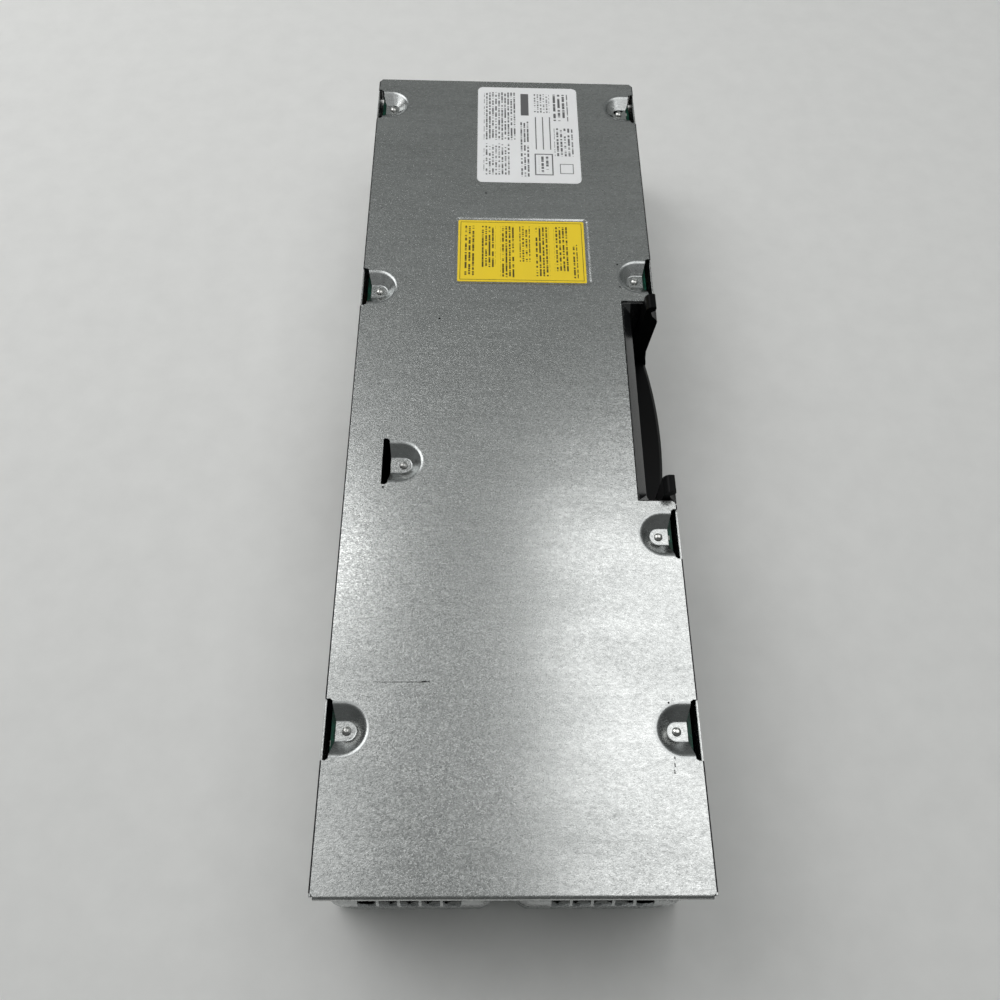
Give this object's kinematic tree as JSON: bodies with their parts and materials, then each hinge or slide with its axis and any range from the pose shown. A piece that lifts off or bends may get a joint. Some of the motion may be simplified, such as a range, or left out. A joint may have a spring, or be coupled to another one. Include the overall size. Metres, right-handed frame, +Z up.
{
  "type": "server power supply",
  "caption": "Long flat sheet-metal power supply with dished fan grilles, stamped board standoffs, a swing pull handle with latch hooks, a mains inlet and a blind-mate output plug.",
  "frame": {"origin": "middle of the cover's outer face, on which the unit lies", "axes": "+X across towards the handle side, +Y along towards the inlet end, +Z up out of the base plate"},
  "size_m": [0.1586, 0.437, 0.08],
  "materials": {
    "galvanised_steel": "zinc coated sheet with a fine spangle",
    "zinc_screws": "bright zinc",
    "bright_steel": "ground",
    "liner_plastic": "fine satin moulding",
    "handle_plastic": "satin moulding",
    "board_green": "solder mask",
    "insulating_film": "clear film",
    "inlet_plastic": "satin",
    "contact_metal": "plated",
    "light_pipe": "clear",
    "plug_plastic": "glass filled",
    "ceramic": "glazed",
    "copper_winding": "enamelled wire",
    "yellow_box": "moulded box",
    "black_epoxy": "moulded",
    "can_sleeve": "shrink sleeve",
    "aluminium_cooler": "extruded",
    "ferrite": "sintered",
    "winding_tape": "tape",
    "fan_plastic": "glass filled",
    "rotor_plastic": "glass filled",
    "bearing_bronze": "sintered",
    "white_label": "satin film",
    "yellow_label": "satin film"
  },
  "bodies": {
    "case": {"base_pan": "galvanised_steel", "cover": "galvanised_steel", "cover_brackets": "galvanised_steel", "cover_screws": "zinc_screws", "board_screws": "zinc_screws", "fan_screws": "zinc_screws", "handle_liner": "liner_plastic", "handle_pivot_pins": "bright_steel", "main_board": "board_green", "output_card": "board_green", "control_card": "board_green", "insulator_sheet": "insulating_film", "inlet_body": "inlet_plastic", "inlet_pins": "contact_metal", "status_light": "light_pipe", "output_housing": "plug_plastic", "output_contacts": "contact_metal", "line_fuse": "ceramic", "filter_choke_outer": "copper_winding", "filter_choke_inner": "copper_winding", "filter_capacitors": "yellow_box", "bridge_rectifier": "black_epoxy", "boost_choke": "copper_winding", "bulk_capacitors": "can_sleeve", "primary_cooler": "aluminium_cooler", "primary_switches": "black_epoxy", "resonant_choke": "ferrite", "transformer_core": "ferrite", "transformer_winding": "winding_tape", "standby_transformer": "winding_tape", "secondary_cooler": "aluminium_cooler", "secondary_switches": "black_epoxy", "output_choke": "copper_winding", "output_capacitors": "can_sleeve", "rating_label": "white_label", "yellow_label": "yellow_label", "fan_frame_left": "fan_plastic", "fan_bearing_left": "bearing_bronze", "fan_stator_left": "copper_winding", "fan_frame_right": "fan_plastic", "fan_bearing_right": "bearing_bronze", "fan_stator_right": "copper_winding"},
    "handle": {"pull_handle": "handle_plastic"},
    "left_rotor": {"fan_rotor_left": "rotor_plastic", "fan_shaft_left": "bright_steel"},
    "right_rotor": {"fan_rotor_right": "rotor_plastic", "fan_shaft_right": "bright_steel"}
  },
  "joints": [
    {"name": "handle_swing", "type": "hinge", "parent": "case", "child": "handle", "pos_m": [0.071, -0.0009, 0.068], "axis": [0, -1, 0], "range_deg": [0, 45]},
    {"name": "left_fan_spin", "type": "hinge", "parent": "case", "child": "left_rotor", "pos_m": [-0.038, -0.2, 0.0364], "axis": [0, 1, 0], "continuous": true},
    {"name": "right_fan_spin", "type": "hinge", "parent": "case", "child": "right_rotor", "pos_m": [0.0328, -0.2, 0.0364], "axis": [0, 1, 0], "continuous": true}
  ]
}
